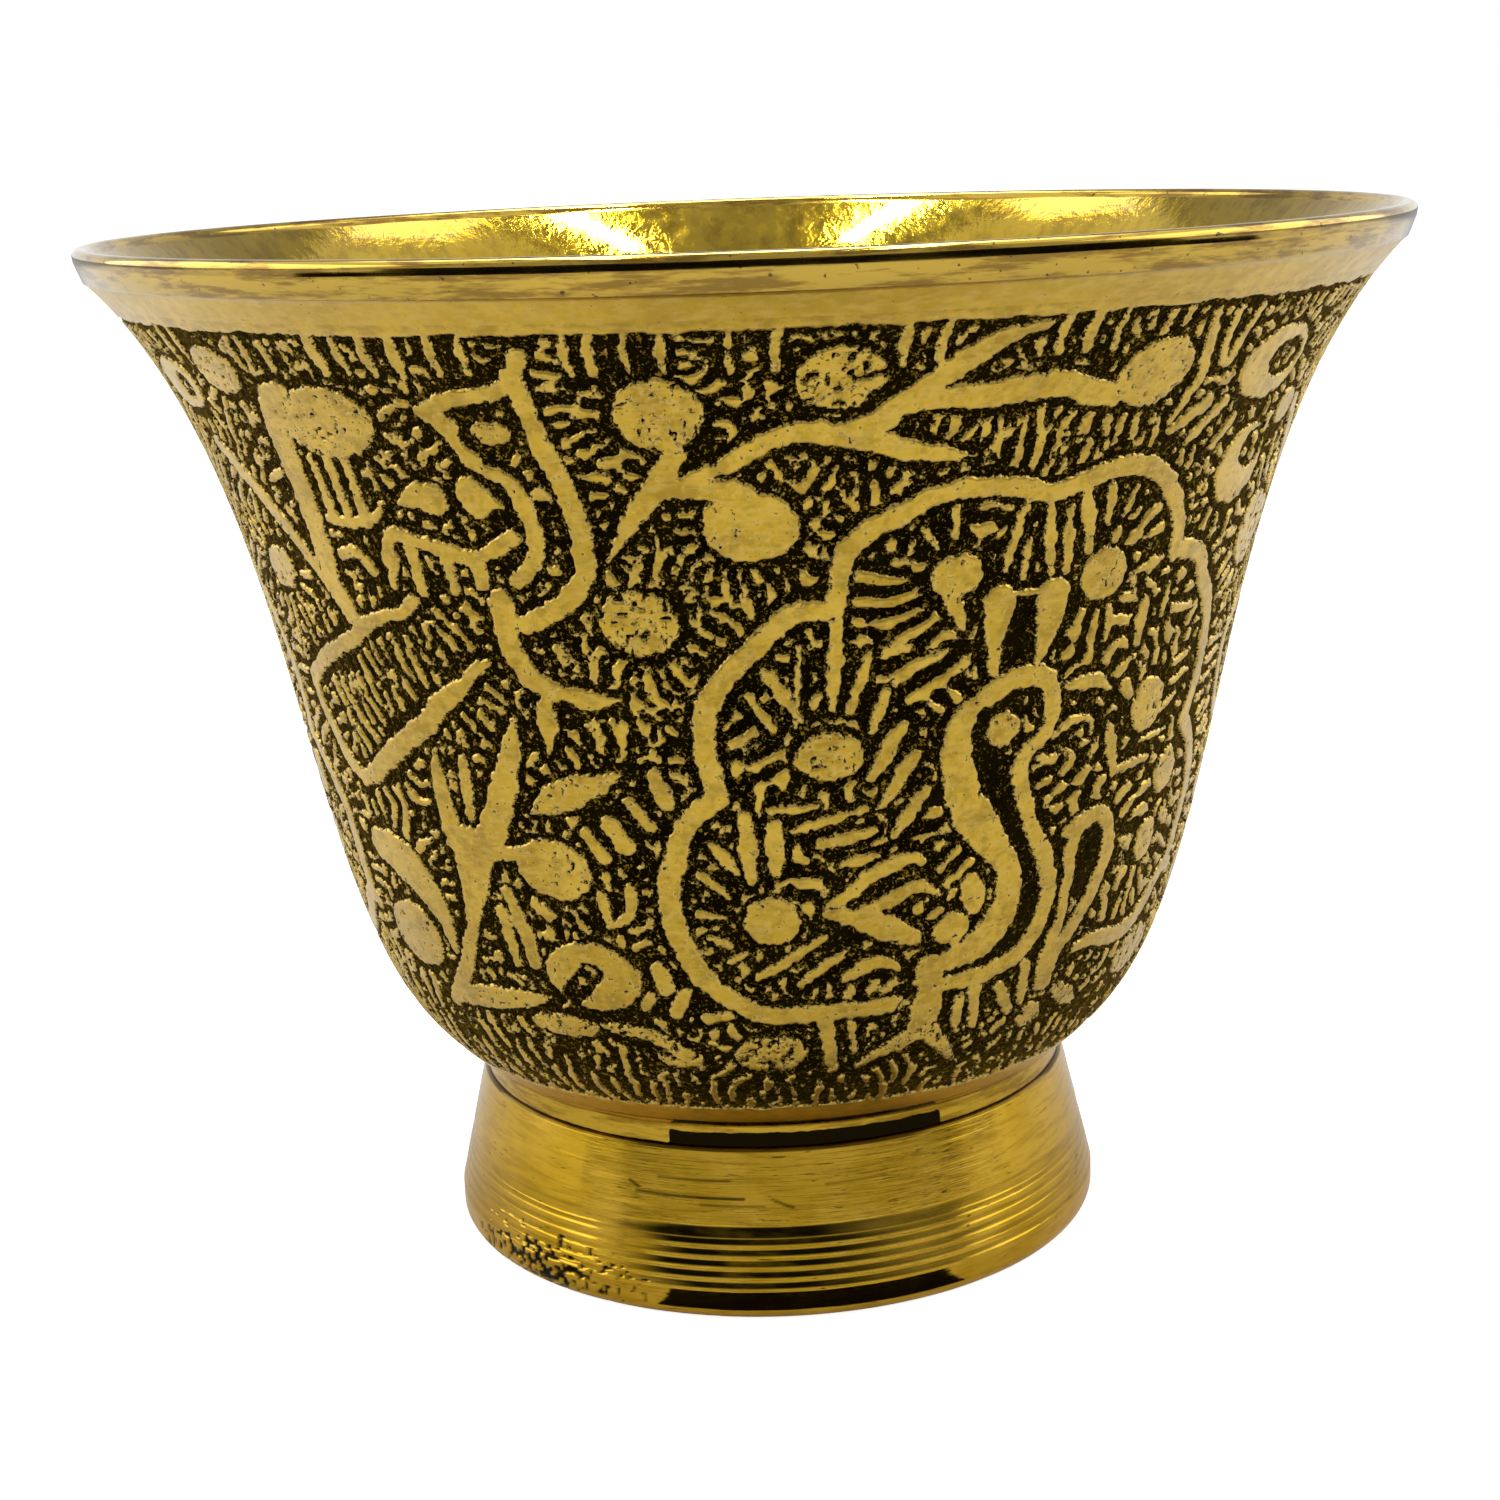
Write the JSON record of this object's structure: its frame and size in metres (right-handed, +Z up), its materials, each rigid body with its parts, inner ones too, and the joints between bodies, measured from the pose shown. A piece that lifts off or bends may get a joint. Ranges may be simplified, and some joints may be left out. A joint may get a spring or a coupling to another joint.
{
  "type": "footed cup",
  "caption": "Flared brass cup with a rounded lip, on a low conical turned foot, with a broad etched and black-filled ornament band round the bowl.",
  "frame": {"origin": "centre of the plane that the foot stands on", "axes": "+Z up along the cup's axis of rotation; -Y towards the viewer of the picture"},
  "size_m": [0.076, 0.076, 0.0602],
  "materials": {
    "bowl": "satin, turned and worn, darker in the etched field",
    "foot_ring": "turned, with fine lathe grooves",
    "solder_seam": "dull grey solder",
    "lacquer_inlay": "black lacquer, rough and worn"
  },
  "bodies": {
    "root": {"bowl": "bowl", "foot_ring": "foot_ring", "solder_seam": "solder_seam", "lacquer_inlay": "lacquer_inlay"}
  },
  "joints": []
}
